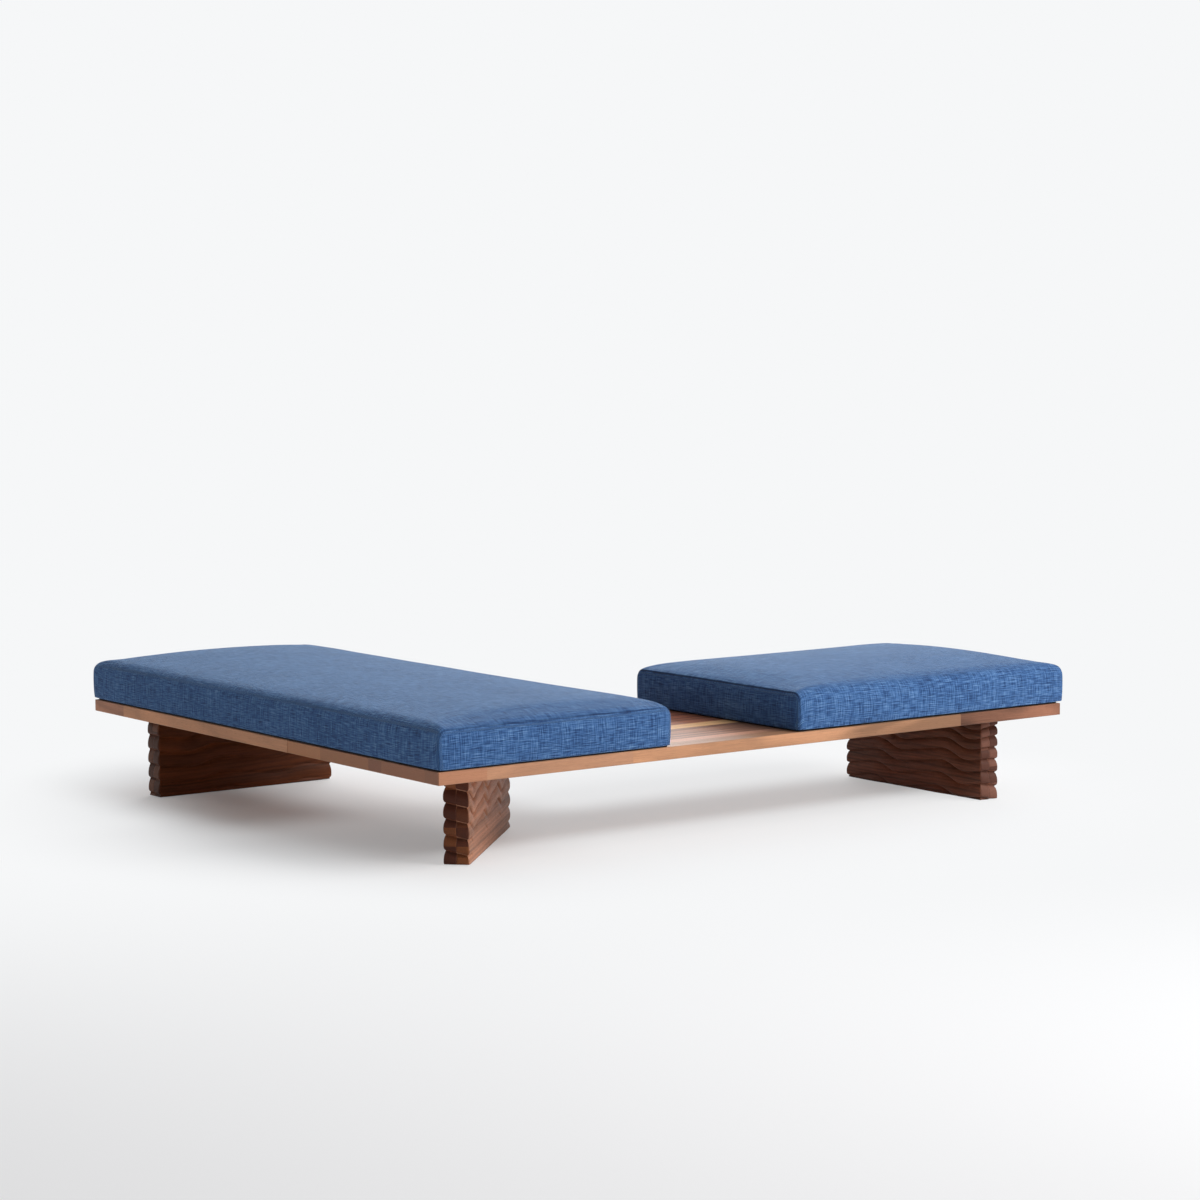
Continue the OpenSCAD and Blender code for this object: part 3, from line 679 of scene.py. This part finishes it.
def leg_place(leg):
    """Where the middle of a leg stands, and which way the leg is turned."""
    low, high = together(leg + "_felt")
    middle = Vector(((low[0] + high[0]) / 2, (low[1] + high[1]) / 2, 0))
    return Matrix.Translation(middle) @ Matrix.Rotation(LEGS[leg]["turn"], 4, "Z")


for number, (leg, style) in enumerate(LEGS.items()):
    for ply, side in [(key, value) for key, value in style.items() if key.endswith("_ply")]:
        node = leg + "_" + ply
        tone, *ends = LEG_WOOD[node]
        finish = walnut(node + "_finish", tone, LEG_SPREAD, seed=FIRST_LEG_SEED + 2 * number + side,
                        heart=(-40, 90), ring=9, figure=0.8, ends=ends, block=LAMINATE, gloss=0.1)
        piece = carved_ply(node + "_carved", style, side, leg_length, leg_thick, leg_foot, leg_head, finish)
        piece.matrix_world = leg_place(leg)
        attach(piece, "frame")
        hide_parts(node)
        print(piece.name, "faces:", len(piece.data.polygons))


# %% [markdown]
# ## Small fittings
# Bolts, washers, nuts and saddles are zinc-plated steel, the threaded inserts brass and the
# dowels beech. They are hidden once the daybed is assembled, but they show when a cushion is
# lifted or when the piece is looked at from below.

# %% Metal and beech
CLOUDS_A_METRE = 300
TURNED_LINES_A_METRE = 3000
TURNED_DEPTH = 0.03 * MM


def metal(name, colour, rough):
    f = Finish(name)
    x, y, z = f.split(f.node("TexCoord", out="Object"))
    cloud = f.noise(x * CLOUDS_A_METRE, y * CLOUDS_A_METRE, z * CLOUDS_A_METRE, detail=3)
    lathe = f.noise(x * 40, y * 40, z * TURNED_LINES_A_METRE, detail=1)
    tint = f.mix(cloud, colour, tuple(0.82 * c for c in colour[:3]) + (1.0,))
    return f.surface(
        Base_Color=tint,
        Metallic=1.0,
        Roughness=rough + (cloud - 0.5) * 0.25,
        Normal=f.bump(lathe, TURNED_DEPTH, 0.4),
    )


zinc = metal("zinc_finish", shade(188, 190, 194), 0.34)
brass = metal("brass_finish", shade(206, 172, 104), 0.3)
beech = walnut("beech_finish", (208, 168, 122), 0.15, ALONG_Y, seed=40, ring=3, figure=0.5)
for node in ("seam_bolts", "seam_nuts", "seam_saddles", "leg_bolts", "leg_washers"):
    dress(node, zinc)
dress("leg_inserts", brass)
dress("seam_dowels", beech)


# %% [markdown]
# ## Felt under the legs
# A strip of pressed felt keeps each leg off the floor. It is a thin band with round ends whose
# edge is soft, so a small ring of points rounds the edge over, and a woolly finish covers it.

# %% Felt strips
FIBRES_A_METRE = 900
FELT_CORNERS = 48
FELT_EDGE = 0.6 * MM


def felt_finish():
    f = Finish("felt_finish")
    x, y, z = f.split(f.node("TexCoord", out="Object"))
    wool = f.noise(x * FIBRES_A_METRE, y * FIBRES_A_METRE, z * FIBRES_A_METRE, detail=4, rough=0.7)
    colour = f.ramp(wool, [(0.3, shade(44, 42, 40)), (0.7, shade(96, 92, 88))])
    return f.surface(Base_Color=colour, Roughness=1.0, Normal=f.bump(wool, 0.3 * MM), Sheen_Weight=0.3)


def felt_strip(name, length, width, thick, material):
    soft = FELT_EDGE
    rows = [(0.0, soft), (0.3 * soft, 0.3 * soft), (soft, 0.0), (thick - soft, 0.0), (thick, soft)]
    run = length / 2 - width / 2
    turns = np.linspace(-math.pi / 2, 1.5 * math.pi, FELT_CORNERS, endpoint=False)
    corners = [(run * (1 if math.cos(a) >= 0 else -1), a) for a in turns]
    points = []
    for z, inset in rows:
        radius = width / 2 - inset
        points += [(x + radius * math.cos(a), radius * math.sin(a), z) for x, a in corners]
    n = len(corners)
    faces = [(r * n + i, r * n + (i + 1) % n, (r + 1) * n + (i + 1) % n, (r + 1) * n + i)
             for r in range(len(rows) - 1) for i in range(n)]
    faces += [tuple(range(n - 1, -1, -1)), tuple(range((len(rows) - 1) * n, len(rows) * n))]
    return new_piece(name, points, faces, material)


felt = felt_finish()
felt_low, felt_high = together("arm_leg_felt")
felt_length, felt_width = (felt_high - felt_low)[:2]
for leg in LEGS:
    strip = felt_strip(leg + "_felt_strip", felt_length, felt_width, leg_foot, felt)
    strip.matrix_world = leg_place(leg)
    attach(strip, "frame")
    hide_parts(leg + "_felt")


# %% [markdown]
# ## The heathered weave
# The cover is a plain weave of slubby yarns in several blues: here and there a yarn is thicker,
# lighter or darker for a few centimetres, and the eye reads that as a fine cross-hatch. Each
# point of a cushion carries its place in the flat cloth, in metres, so the yarns run over the
# rolled edges as real ones do. Stretched noise along each direction gives the slubs, and two
# sine waves give the over and under of the weave.

# %% Cloth finish
YARN = 1.9 * MM
SLUB_WIDTH = 2.1 * MM
SLUB_LENGTH = 34 * MM
YARN_DEPTH = 0.7 * MM
# How strongly each thing darkens and lightens the cloth.
WARP_SLUBS = 0.9
WEFT_SLUBS = 0.62
YARN_TONES = 0.45
BLOTCHES = 0.18
OVER_AND_UNDER = 0.05
BLUES = [(0.18, shade(24, 42, 78)), (0.42, shade(46, 80, 128)), (0.6, shade(72, 110, 160)),
         (0.9, shade(114, 150, 190))]
# Painted shade in the sunken seams: the cloth turns towards this dark blue as far as the seam attribute says.
SEAM_SHADOW_BLUE = shade(20, 32, 60)


def cloth_finish(name, seed, seam_shade):
    f = Finish(name)
    u, v, _ = f.split(f.node("Attribute", {"attribute_name": "cloth_place"}, out="Vector"))
    seam = f.node("Attribute", {"attribute_name": "seam"}, out="Fac")
    warp = f.noise(u / SLUB_LENGTH, v / SLUB_WIDTH, seed, detail=1, rough=0.4)
    weft = f.noise(u / SLUB_WIDTH, v / SLUB_LENGTH, seed + 5, detail=1, rough=0.4)
    warp_yarn = f.noise(u * 6, v / YARN, seed + 9, detail=1)
    weft_yarn = f.noise(u / YARN, v * 6, seed + 13, detail=1)
    cloud = f.noise(u * 7, v * 7, seed + 17, detail=2)
    over = (u * (math.pi / YARN)).sine() * (v * (math.pi / YARN)).sine()
    tone = 0.5 + (warp - 0.5) * WARP_SLUBS + (weft - 0.5) * WEFT_SLUBS
    tone = tone + (warp_yarn + weft_yarn - 1.0) * YARN_TONES
    tone = tone + (cloud - 0.5) * BLOTCHES + over * OVER_AND_UNDER
    # Painted seam shade mixed into the weave's colour.
    colour = f.mix(seam * seam_shade, f.ramp(tone, BLUES), SEAM_SHADOW_BLUE)
    height = over * 0.5 + (warp + weft) * 0.9
    return f.surface(
        Base_Color=colour,
        Roughness=0.86 + (tone - 0.5) * 0.1,
        Normal=f.bump(height, YARN_DEPTH, 0.8),
        Sheen_Weight=0.42,
        Sheen_Roughness=0.3,
        Sheen_Tint=(0.6, 0.8, 1.0, 1.0),
        Specular_IOR_Level=0.2,
    )


# %% [markdown]
# ## Shape of a cushion
# A cushion is a crowned box. Its long edges roll over in one piece of cloth, while each end is a
# flat panel sewn in with a sunken seam, towards which the top dips. The mesh is made of quads
# only: rings run across the cushion every 12 mm, closer near the seams, and a grid fills each
# end. Every ring has a foot, a side that bulges a little, a rolled edge and a crown.

# %% Sections
COVER_HEIGHT = 114.5 * MM
CROWN = 17 * MM
CROWN_RUN = 60 * MM
CROWN_POWER = 2.2
OVERHANG = 4.5 * MM
OUTER_OVERHANG = 12 * MM
DRAW_IN = 3 * MM
ROLL = 36 * MM
END_ROLL = 20 * MM
END_DROP = 18 * MM
SIDE_SHARE = 0.35
SEAM_DEPTH = 1.5 * MM
END_DOME = 5 * MM
FOOT_DRAW = 3 * MM
FOOT_RADIUS = 4 * MM
FOOT_TURNS = (-45, -15, 15)
SHOULDER_DRAW = 1 * MM
BODY_START = 150 * MM
TOP_STEPS = 58
ROLL_STEPS = 6
SIDE_STEPS = 7
RING_STEP = 12 * MM
# The end's dip is a tight turn at the seam plus a long rise after it: a share and a length each.
DIP_PARTS = [(0.6, 6 * MM), (0.4, 60 * MM)]
# Rings near a seam: millimetres in from it, share of the seam's depth and darkness of its shadow.
SEAM_RINGS = [(0, 0.6, 0), (1, 0.7, 0), (1.8, 1, 1), (2.6, 1, 1), (3.4, 0, 0.6), (4.4, 0, 0)]
CLOSE_RINGS = (6.5, 9.5, 14, 20, 28, 38, 49)
DOME_FALL = 0.35


def drop_left(t):
    """What is left of the end's dip at distance t in from the seam."""
    return sum(share * math.exp(-t / length) for share, length in DIP_PARTS)


def section(width, y, half_length, inward, sunk):
    """One ring as four rows of (across, up): the top, the right side, the foot and the left side.
    inward is how far the ring lies in from the nearer seam, and sunk how deep that seam pulls it."""
    drop = drop_left(inward)
    bow = max(0.0, 1 - (y / (half_length - BODY_START)) ** 2)
    half = width / 2 + OVERHANG - DRAW_IN * bow - drop * END_DROP * SIDE_SHARE - sunk
    high = COVER_HEIGHT - drop * END_DROP - sunk
    roll = END_ROLL + (ROLL - END_ROLL) * (1 - drop)
    rise = CROWN * (1 - math.exp(-inward / CROWN_RUN))
    centre = half - SHOULDER_DRAW - roll
    tilt = math.atan(CROWN_POWER * rise / centre)
    inner = centre + roll * math.sin(tilt)
    level = high - roll * math.cos(tilt)
    turn = np.linspace(0, math.pi / 2 - tilt, ROLL_STEPS + 1)
    arc = np.stack([centre + roll * np.cos(turn), level + roll * np.sin(turn)], axis=1)
    low_turn = np.radians(FOOT_TURNS)
    heel = np.stack([half - FOOT_DRAW - FOOT_RADIUS + FOOT_RADIUS * np.cos(low_turn),
                     FOOT_RADIUS + FOOT_RADIUS * np.sin(low_turn)], axis=1)
    q = np.linspace(0, 1, SIDE_STEPS + 1)[1:-1]
    face = np.stack([half - FOOT_DRAW * (1 - q) ** 3 - SHOULDER_DRAW * q ** 3,
                     FOOT_RADIUS + q * (level - FOOT_RADIUS)], axis=1)
    corner = ROLL_STEPS // 2
    right = np.concatenate([heel, face, arc[:corner + 1]])[::-1]
    x = inner * np.linspace(1, -1, TOP_STEPS + 1)
    crown = np.stack([x, high + rise * (1 - abs(x / inner) ** CROWN_POWER)], axis=1)
    top = np.concatenate([arc[corner:-1], crown, arc[corner:-1][::-1] * (-1, 1)])[::-1]
    foot = np.stack([np.linspace(right[-1][0], -right[-1][0], len(top)), np.full(len(top), 0.0)], axis=1)
    foot[[0, -1]] = right[-1], right[-1] * (-1, 1)
    left = (right * (-1, 1))[::-1]
    return top, right, foot, left


# %% Rings into a mesh
def stations(half_length):
    """Places of the rings from the first end, how far each is in from the nearer end panel, how deep
    the seam pulls it, and how dark the seam's shadow is on it."""
    rings = SEAM_RINGS + [(t, 0, 0) for t in CLOSE_RINGS]
    near = [(END_DOME + t * MM, t * MM, sunk * SEAM_DEPTH, seam) for t, sunk, seam in rings]
    start = near[-1][0] + RING_STEP
    count = round((2 * half_length - 2 * start) / RING_STEP)
    body = [start + (2 * half_length - 2 * start) * i / count for i in range(count + 1)]
    middle = [(t, min(t, 2 * half_length - t) - END_DOME, 0.0, 0.0) for t in body]
    return near + middle + [(2 * half_length - t, *rest) for t, *rest in reversed(near)]


def panel(top, right, foot, left, y, dome):
    """Points inside an end panel, filled in between its four sides."""
    n, m = len(top) - 1, len(right) - 1
    inside = []
    for i in range(1, n):
        for j in range(1, m):
            a, b = i / n, j / m
            top_foot = (1 - b) * top[i] + b * foot[n - i]
            sides = (1 - a) * left[m - j] + a * right[j]
            corners = (1 - b) * ((1 - a) * top[0] + a * top[-1]) + b * ((1 - a) * foot[-1] + a * foot[0])
            x, z = top_foot + sides - corners
            puff = (math.sin(math.pi * a) * math.sin(math.pi * b)) ** DOME_FALL
            inside.append((x, y + dome * puff, z))
    return inside


# Where the cloth of the end panels lies in the flat cloth: well away from the rest, in metres.
END_CLOTH = (3.0, 1.0)


def cushion_mesh(width, length):
    """Points, faces, place of each point in the flat cloth, and how dark the painted shade of the seam is on
    it.
    """
    half_length = length / 2 + OVERHANG
    points, cloth, seam = [], [], []
    for t, inward, sunk, dark in stations(half_length):
        y = t - half_length
        top, right, foot, left = section(width, y, half_length, inward, sunk)
        ring = np.concatenate([top, right[1:], foot[1:], left[1:-1]])
        step = np.linalg.norm(np.diff(ring, axis=0), axis=1)
        run = np.concatenate([[0], np.cumsum(step)]) - step[: len(top) - 1].sum() / 2
        points += [(x, y, z) for x, z in ring]
        cloth += [(y, r, 0.0) for r in run]
        # Painted seam shade, full on the top rows and half on the sides and foot.
        seam += [dark] * len(top) + [dark / 2] * (len(ring) - len(top))
    n, m = len(top) - 1, len(right) - 1
    size = len(ring)
    count = len(points) // size
    faces = [(k * size + i, k * size + (i + 1) % size, (k + 1) * size + (i + 1) % size, (k + 1) * size + i)
             for k in range(count - 1) for i in range(size)]
    for k, way in ((0, -1), (count - 1, 1)):
        rim = k * size
        y = points[rim][1]
        ring = np.array(points[rim:rim + size])[:, [0, 2]]
        left_side = np.concatenate([ring[2 * n + m:], ring[:1]])
        sides = ring[:n + 1], ring[n:n + m + 1], ring[n + m:2 * n + m + 1], left_side
        start = len(points)
        points += panel(*sides, y, way * END_DOME)
        cloth += [(x + END_CLOTH[0] * way, z + END_CLOTH[1], 0.0) for x, _, z in points[start:]]
        seam += [0.0] * (len(points) - start)

        def spot(i, j):
            if j == 0:
                return rim + i
            if j == m:
                return rim + n + m + (n - i)
            if i == 0:
                return rim + (2 * n + 2 * m - j) % size
            if i == n:
                return rim + n + j
            return start + (i - 1) * (m - 1) + (j - 1)

        cap = [(spot(i, j), spot(i, j + 1), spot(i + 1, j + 1), spot(i + 1, j))
               for i in range(n) for j in range(m)]
        faces += cap if way < 0 else [tuple(reversed(face)) for face in cap]
    return points, faces, cloth, seam


# %% [markdown]
# ## Filling a cushion
# Foam inside a tight cover pushes it out, most where no seam holds it. Blender's cloth does that:
# the foot and the seams are pinned, a light pressure blows the cover up for twenty frames, and
# the result is kept but held to a few millimetres, because this foam is firm. A slow, shallow
# unevenness stays in the top of any cushion that has been sat on.

# %% Pressure
CLOTH = {
    "vertex_group_mass": "pinned",
    "quality": 4,
    "mass": 0.3,
    "tension_stiffness": 25,
    "compression_stiffness": 25,
    "shear_stiffness": 10,
    "bending_stiffness": 1.0,
    "use_pressure": True,
    "uniform_pressure_force": 4.0,
}
FRAMES = 20
MOST_MOVE = 2.4 * MM
UNEVEN_TOP = 0.9 * MM
UNEVEN_PER_METRE = 5
PINNED_FOOT = 6 * MM
PINNED_SEAM = (-1 * MM, 5 * MM)


def seam_near(point, length):
    """Whether a point lies on the rings of the seam and not inside the end panel."""
    return PINNED_SEAM[0] < length / 2 + OVERHANG - END_DOME - abs(point[1]) < PINNED_SEAM[1]


def filled(piece, pinned):
    """The cover's points after pressure has acted on it."""
    group = piece.vertex_groups.new(name="pinned")
    group.add(pinned, 1.0, "REPLACE")
    cloth = piece.modifiers.new("cloth", "CLOTH")
    for key, value in CLOTH.items():
        setattr(cloth.settings, key, value)
    cloth.settings.effector_weights.gravity = 0
    cloth.collision_settings.use_collision = False
    cloth.point_cache.frame_start = 1
    cloth.point_cache.frame_end = FRAMES
    for number in range(1, FRAMES + 1):
        bpy.context.scene.frame_set(number)
    blown = piece.evaluated_get(bpy.context.evaluated_depsgraph_get()).to_mesh()
    after = np.array([v.co for v in blown.vertices])
    piece.modifiers.remove(cloth)
    piece.vertex_groups.remove(group)
    bpy.context.scene.frame_set(1)
    return after


def cushion(name, width, length, place, turn, body, material):
    points, faces, cloth, seam = cushion_mesh(width, length)
    before = np.array(points)
    piece = new_piece(name, points, faces, material)
    labels = {"cloth_place": ("FLOAT_VECTOR", "vector", cloth), "seam": ("FLOAT", "value", seam)}
    for label, (kind, key, values) in labels.items():
        held = piece.data.attributes.new(label, kind, "POINT")
        held.data.foreach_set(key, np.array(values, dtype=np.float32).ravel())
    pinned = [i for i, p in enumerate(before) if p[2] < PINNED_FOOT or seam_near(p, length)]
    move = filled(piece, pinned) - before
    far = np.linalg.norm(move, axis=1, keepdims=True)
    move *= MOST_MOVE * np.tanh(far / MOST_MOVE) / np.maximum(far, 1e-9)
    before = before + move
    print(name, "blown out in mm, at most:", round(float(far.max()) / MM, 1))
    for i, p in enumerate(before):
        high = min(1.0, max(0.0, p[2] / COVER_HEIGHT - 0.5) * 2)
        p[2] += UNEVEN_TOP * high * noise.noise(Vector((*p[:2] * UNEVEN_PER_METRE, 3.0 + place[0])))
    piece.data.vertices.foreach_set("co", before.ravel())
    smooth = piece.modifiers.new("smooth", "SUBSURF")
    smooth.levels = smooth.render_levels = 1
    piece.matrix_world = Matrix.Translation(place) @ Matrix.Rotation(turn, 4, "Z")
    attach(piece, body)
    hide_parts(body + "_cover", body + "_foam")
    return piece


# %% The two cushions
WRAP = 14 * MM
# Body, direction, seed of the weave and how dark the shadow in the seams is.
CUSHIONS = [
    ("long_cushion", 0.0, 1.0, 0.5),
    ("short_cushion", -math.pi / 2, 31.0, 0.85),
]
foam_low, foam_high = together("long_cushion_foam")
panel_width = float(foam_high[0] - foam_low[0]) + 2 * WRAP
for body, turn, seed, seam_shade in CUSHIONS:
    low, high = together(body + "_foam")
    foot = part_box(body + "_base")[0].z
    span = (high - low)[:2] + 2 * WRAP
    length = float(span[1] if turn == 0 else span[0]) + OUTER_OVERHANG
    outward = Matrix.Rotation(turn, 3, "Z") @ Vector((0, OUTER_OVERHANG / 2, 0))
    place = Vector(((low[0] + high[0]) / 2, (low[1] + high[1]) / 2, foot)) + outward
    weave = cloth_finish(body + "_weave", seed, seam_shade)
    made = cushion(body + "_upholstery", panel_width, length, place, turn, body, weave)
    print(made.name, "points:", len(made.data.vertices))


# %% [markdown]
# ## Under the cushions
# The foam stands on a birch plywood board, and a black ribbed underlay between that and the
# walnut keeps the cushion from sliding. Only its dark edge shows as a thin line.

# %% Plywood and underlay
VENEER = 1.4 * MM
UNDERLAY_RIB = 5 * MM


def plywood_finish():
    f = Finish("plywood_finish")
    x, y, z = f.split(f.node("TexCoord", out="Object"))
    grain = f.noise(x * 6, y * 260, z * 10, detail=4, rough=0.6)
    veneers = ((z / VENEER) * math.pi).sine() * 0.5 + 0.5
    edge = 1 - f.split(f.node("TexCoord", out="Normal"))[2].size().between(0.4, 0.6)
    tone = grain * (1 - edge * 0.6) + veneers * edge * 0.5
    colour = f.ramp(tone, [(0.25, shade(170, 132, 92)), (0.7, shade(222, 196, 156))])
    return f.surface(Base_Color=colour, Roughness=0.6, Normal=f.bump(grain, 0.1 * MM, 0.4))


def underlay_finish():
    f = Finish("underlay_finish")
    x, y, _ = f.split(f.node("TexCoord", out="Object"))
    turn = math.pi / UNDERLAY_RIB
    grid = ((x * turn).sine() * (y * turn).sine()).size()
    colour = f.ramp(grid, [(0.1, shade(16, 16, 18)), (0.9, shade(34, 34, 37))])
    return f.surface(Base_Color=colour, Roughness=0.82, Normal=f.bump(grid, 0.8 * MM, 0.8))


plywood = plywood_finish()
underlay = underlay_finish()
for body in ("long_cushion", "short_cushion"):
    dress(body + "_base", plywood)
    dress(body + "_underlay", underlay)


# %% [markdown]
# ## The size
# The dressed object has to fill nearly the same space as the construction. Both boxes are
# printed side by side.

# %% Sizes and finish
sizes = {"model": [list(c) for c in cad_bounds], "dressed": [list(c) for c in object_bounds()]}
for a, b in zip(*sizes.values()):
    print("corner in mm, model and dressed:", [round(x / MM, 1) for x in a], [round(x / MM, 1) for x in b])
